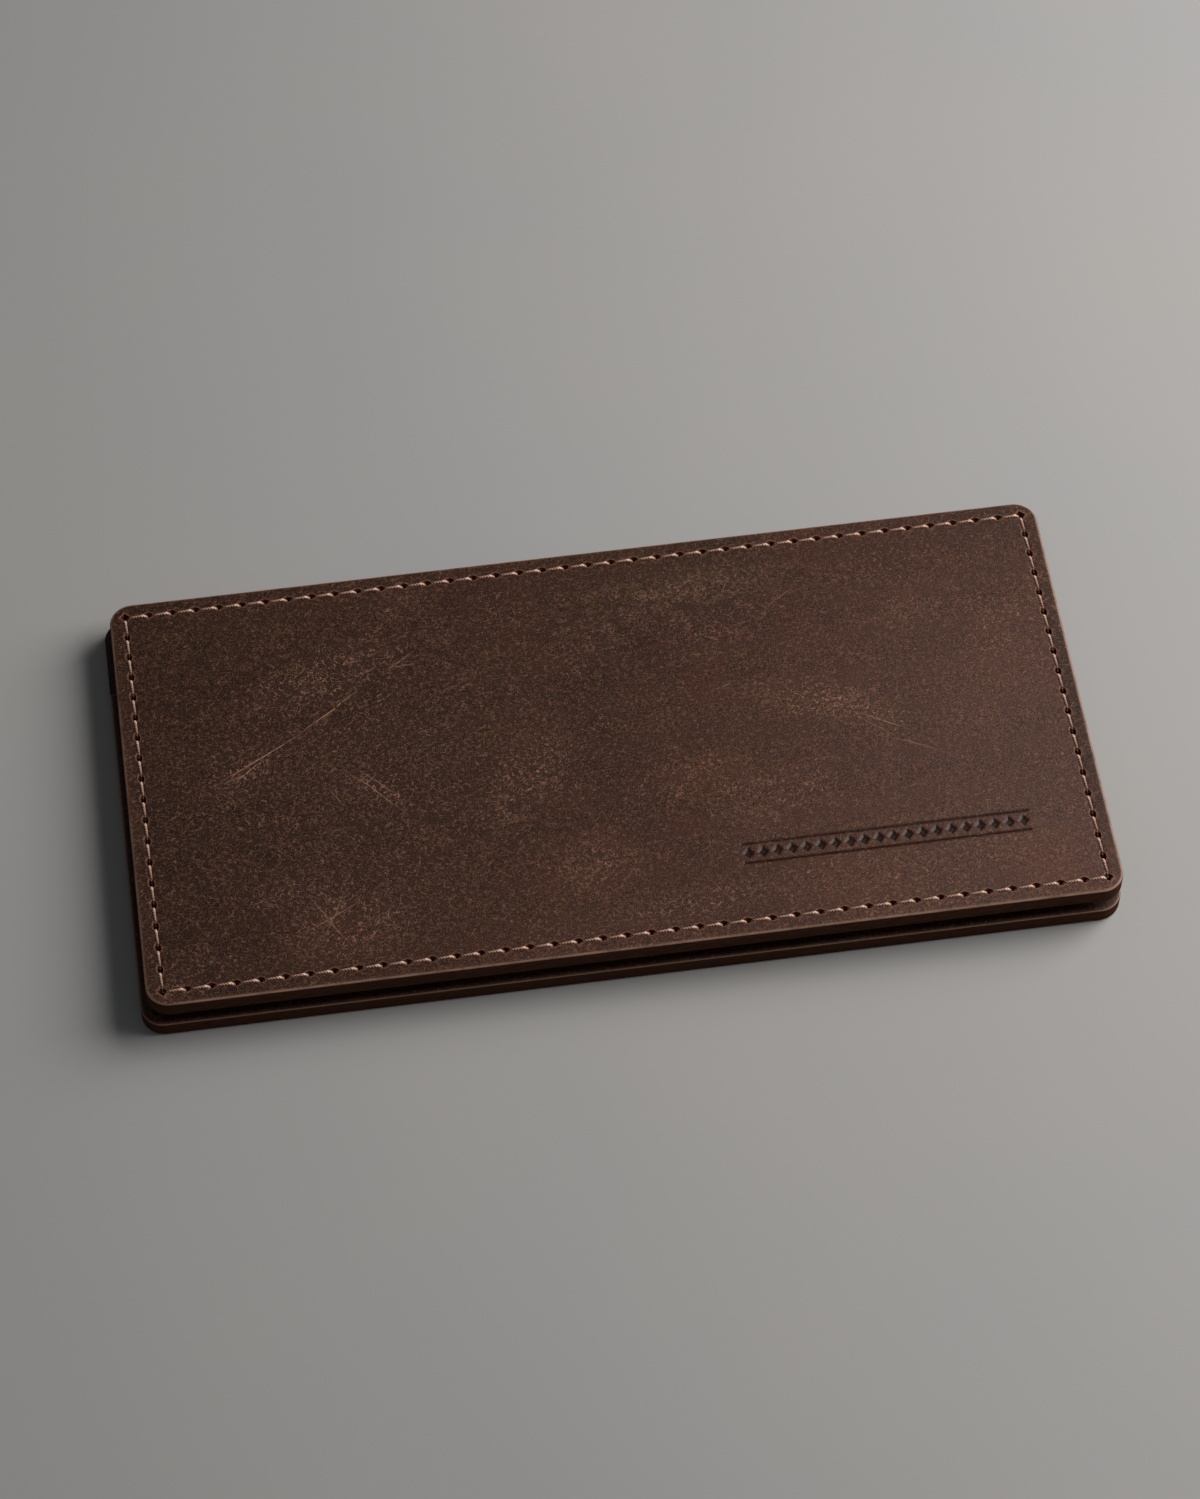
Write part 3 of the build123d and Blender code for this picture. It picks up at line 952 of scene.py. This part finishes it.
def pocket(cover, name):
    """A closed sheet whose two faces both rise by a smooth slope inside the seam. Near the mouth the grid is
    drawn back by the thumb cut-out, less and less away from the mouth."""
    shell = Shell()
    half_u, half_v = cover.half_length, cover.half_depth
    mouth = cover.row_v - mouth_stitches * cover.pitch_v
    around = inner_hole_lines, inner_edge_lines
    u_lines = row_lines(-half_u, half_u, -cover.row_u, long_stitches + 1, cover.pitch_u, *around)
    v_lines = row_lines(-half_v, mouth, -cover.row_v, short_stitches - mouth_stitches, cover.pitch_v, *around)
    inner_u = cover.row_u - cover.pitch_u + inner_hole_lines[-1]
    inner_v = -cover.row_v + cover.pitch_v - inner_hole_lines[-1]
    gap = inner_spacing / 2
    thumb_stretch, mouth_stretch = (-thumb_grid_half, thumb_grid_half), (mouth - mouth_grid_depth, mouth)
    field_u = even_lines(gap - inner_u, inner_u - gap, inner_spacing, *thumb_stretch, thumb_grid)
    field_v = even_lines(inner_v + gap, mouth, inner_spacing, *mouth_stretch, mouth_grid)
    field_v = np.unique(np.concatenate([field_v, mouth - inner_edge_lines]).round(7))

    def shape(level, upper, slope_start):
        def placed(u, v):
            u, v_round = round_corners(u, v, half_u, half_v, corner_radius)
            v = np.where(v < 0, v_round, v)
            thumb = thumb_cut(u)
            v = v - thumb * step(v, mouth - thumb_run, mouth)
            to_mouth = np.maximum(mouth - thumb - v, 0)
            inset = inset_from_edge(u, np.minimum(v, 0), half_u, half_v, corner_radius)
            rise = pocket_rise * step(inset, slope_start, slope_start + field_slope)
            if not upper:
                return u, v, level + rise
            crease = mouth_crease_depth * hump(to_mouth, mouth_crease, mouth_crease_width)
            relief = inner_relief(cover, u, v) * (v < mouth - free_edge) + crease * (inset > field_inset)
            relief = relief + rounded_edge(np.minimum(inset, to_mouth), pocket_edge_round)
            return u, v, level + rise - relief
        return placed

    lines = (u_lines, v_lines)
    inner = (np.array([-inner_u, inner_v]), np.array([inner_u, mouth]))
    field = field_u, field_v
    top = stitched_face(shell, lines, inner, field, shape(stack_level, True, field_inset))
    foot_inset = field_inset + pocket_thickness
    foot = stitched_face(shell, lines, inner, field, shape(pocket_level, False, foot_inset))
    shell.grid(np.stack([top, foot]))
    piece, points = shell.finished(name, cover)
    u, v, w = points.T
    inset = inset_from_edge(u, np.minimum(v, 0), half_u, half_v, corner_radius)
    inset = np.minimum(inset, mouth - thumb_cut(u) - v)
    on_top = w > (pocket_level + stack_level) / 2
    # Marks the crest of the pocket's rounded edge, for its wear and its painted highlight.
    mark_points(piece, "crest", hump(inset, pocket_crest_inset, pocket_crest_width) * on_top)
    return piece


pocket_dyes = (42, 24, 16), (54, 33, 23)
pocket_finish, colour, roughness = leather("pocket_pull_up_leather", *pocket_dyes, strokes=0.75)
# The crest of the pocket's edge: rubbed light by wear, and given a painted highlight.
colour = pocket_finish.mix(0.7 * pocket_finish.mark("crest"), colour, paint(162, 124, 104))
pocket_finish.set(Base_Color=colour, Roughness=roughness)
for cover, node in ((back, "check_pocket"), (front, "register_pocket")):
    piece = pocket(cover, f"{node}_leather")
    piece.data.materials.append(pocket_finish.material)
    give_sides(piece, cover, edge_finish)
    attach(piece, cover.body)
    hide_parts(node)

# Thread: waxed, saddle-stitched through every layer, so that each face has a
# stitch from each awl hole to the next. A stitch lies a little askew, and both
# its ends turn down into the holes.
thread_radius = 0.24 * mm
thread_knob = 0.06 * mm
thread_sides = 6
thread_stations = 9
station_power = 0.75
face_thread_sink = {"front": 0.13 * mm, "back": 0.27 * mm}
thread_dive = 0.7 * mm
thread_end = 0.3 * mm
dive_start = 1.05 * mm
dive_end = 0.2 * mm
knob_place = 0.72, 0.3
thread_askew = 0.09 * mm
inner_thread_rise = 0.1 * mm
thread_twist = 0.5 * mm
twist_height = 0.035 * mm
fluff_size = 0.9 * mm
thread_dyes = (156, 112, 90), (204, 160, 136)
twist_shade = 84, 52, 38
painted_shade_end = 70, 42, 31
painted_highlight_end = 244, 214, 196


def row_stitches(cover):
    """Middle, direction and length of every stitch, row by row: near, right, far and left."""
    rows = []
    for count, pitch, row, side in (
        (long_stitches, cover.pitch_u, -cover.row_v, (1, 0)),
        (short_stitches, cover.pitch_v, cover.row_u, (0, 1)),
        (long_stitches, cover.pitch_u, cover.row_v, (1, 0)),
        (short_stitches, cover.pitch_v, -cover.row_u, (0, 1)),
    ):
        along = (np.arange(count) - (count - 1) / 2) * pitch
        across = np.full(count, row)
        middles = np.stack([along, across] if side[0] else [across, along], 1)
        rows.append((middles, np.tile(np.array(side, float), (count, 1)), np.full(count, pitch)))
    return [np.concatenate(parts) for parts in zip(*rows)]


def stitches(name, cover, level, sign):
    """Every stitch as a tube of a few sides along a path that is level in its middle and dives at its ends.
    level gives the depth of each stitch's middle line, and sign says which way is down into the leather."""
    middles, way, pitch = row_stitches(cover)
    share = np.linspace(-1, 1, thread_stations)
    share = np.sign(share) * np.abs(share) ** station_power
    half_pitch = pitch[:, None] / 2
    along = share * (half_pitch - thread_end)
    dive = thread_dive * step(np.abs(along), half_pitch - dive_start, half_pitch - dive_end)
    askew = thread_askew * share
    slope = np.gradient(dive, axis=1) / np.gradient(along, axis=1)
    tilt = np.arctan(slope)
    radius = thread_radius + thread_knob * hump(share, *knob_place)
    turn = np.arange(thread_sides) * 2 * math.pi / thread_sides
    side = radius[None, :, None] * np.cos(turn)
    lift = radius[None, :, None] * np.sin(turn)
    s = along[..., None] + lift * np.sin(tilt)[..., None]
    across = (askew + 0 * along)[..., None] + side
    down = dive[..., None] - lift * np.cos(tilt)[..., None]
    normal = np.stack([-way[:, 1], way[:, 0]], 1)
    u = middles[:, 0, None, None] + s * way[:, 0, None, None] + across * normal[:, 0, None, None]
    v = middles[:, 1, None, None] + s * way[:, 1, None, None] + across * normal[:, 1, None, None]
    w = level[:, None, None] + sign * down
    shell = Shell()
    numbers = shell.add(u, v, w)
    closed = np.concatenate([numbers, numbers[:, :, :1]], 2)
    corners = np.stack([closed[:, :-1, :-1], closed[:, 1:, :-1], closed[:, 1:, 1:], closed[:, :-1, 1:]], -1)
    shell.faces += corners.reshape(-1, 4).tolist()
    shell.faces += numbers[:, 0].tolist() + numbers[:, -1].tolist()
    piece, _ = shell.finished(name, cover, smooth_angle=70)
    mark_points(piece, "along", np.broadcast_to(share[:, None], numbers.shape).ravel())
    return piece


thread_finish = Finish("waxed_thread")
along = thread_finish.mark("along")
across = thread_finish.part(thread_finish.place, "X") + thread_finish.part(thread_finish.place, "Y")
strand = (across * (2 * math.pi / thread_twist)).sine()
fluff = thread_finish.noise(fluff_size)
colour = thread_finish.mix(fluff, *(paint(*dye) for dye in thread_dyes))
colour = thread_finish.mix(strand.step(-0.2, -1) * 0.6, colour, paint(*twist_shade))
# Painted shade on the end of each stitch that faces away from the key light.
colour = thread_finish.mix(along.step(0.1, -0.9) * 0.75, colour, paint(*painted_shade_end))
# Painted highlight near the end of each stitch that faces the key light.
colour = thread_finish.mix(along.line(0.62, 0.3) * 0.65, colour, paint(*painted_highlight_end))
thread_finish.set(
    Base_Color=colour,
    Roughness=0.42 + 0.2 * fluff,
    Normal=thread_finish.bump(strand, twist_height),
)
for cover in covers:
    middles, way, pitch = row_stitches(cover)
    sink = np.full(len(middles), face_thread_sink[cover.name])
    mouth = cover.row_v - mouth_stitches * cover.pitch_v
    inner_level = np.where(middles[:, 1] < mouth, stack_level, pocket_level) + inner_thread_rise
    for name, level, sign, node in (
        (f"{cover.name}_face_thread", sink, 1, f"{cover.name}_face_stitching"),
        (f"{cover.name}_inner_thread", inner_level, -1, f"{cover.name}_inner_stitching"),
    ):
        piece = stitches(name, cover, level, sign)
        piece.data.materials.append(thread_finish.material)
        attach(piece, cover.body)
        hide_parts(node)

# Camera: the photograph's view, by its place over the front cover's middle.
camera_place = np.array([-58.26, -409.76, 646.53]) * mm
camera_turn = math.radians(8.016)
camera_dip = math.radians(57.088)
camera_data = bpy.data.cameras.new("camera")
camera_data.lens = 105.85
camera_data.sensor_width = 36.0
camera_data.clip_start = 0.01
camera = bpy.data.objects.new("camera", camera_data)
camera.location = camera_place
camera.rotation_euler = (math.pi / 2 - camera_dip, 0, -camera_turn)
bpy.context.scene.collection.objects.link(camera)
bpy.context.scene.camera = camera

# Floor: plain, pale and matt.
floor_half = 1.6
floor_cloud_size = 0.12
floor_shades = (164, 165, 168), (173, 171, 167)
floor_mesh = bpy.data.meshes.new("floor")
corner_sides = (-1, -1), (1, -1), (1, 1), (-1, 1)
corners = [(side_x * floor_half, side_y * floor_half, 0) for side_x, side_y in corner_sides]
floor_mesh.from_pydata(corners, [], [(0, 1, 2, 3)])
floor = bpy.data.objects.new("floor", floor_mesh)
bpy.context.scene.collection.objects.link(floor)
floor_finish = Finish("matt_floor")
floor_cloud = floor_finish.noise(floor_cloud_size, 3, 0.55)
floor_finish.set(
    Base_Color=floor_finish.mix(floor_cloud, *(paint(*shade) for shade in floor_shades)),
    Roughness=0.85,
    Specular_IOR_Level=0.2,
)
floor_mesh.materials.append(floor_finish.material)

# Light: one broad soft key at the far right, over a dim even surround.
key_place = np.array([0.54, 0.12, 0.46])
key_size = 0.56
key_power = 6.8
surround = 0.1
key_data = bpy.data.lights.new("key", "AREA")
key_data.energy = key_power
key_data.size = key_size
key_data.color = (1.0, 0.965, 0.93)
key = bpy.data.objects.new("key", key_data)
key.location = key_place
key.rotation_euler = mathutils.Vector(-key_place).to_track_quat("-Z", "Y").to_euler()
bpy.context.scene.collection.objects.link(key)
world = bpy.data.worlds.new("world")
world.use_nodes = True
world.node_tree.nodes["Background"].inputs["Color"].default_value = (0.93, 0.96, 1.0, 1)
world.node_tree.nodes["Background"].inputs["Strength"].default_value = surround
bpy.context.scene.world = world
bpy.context.scene.view_settings.view_transform = "Standard"
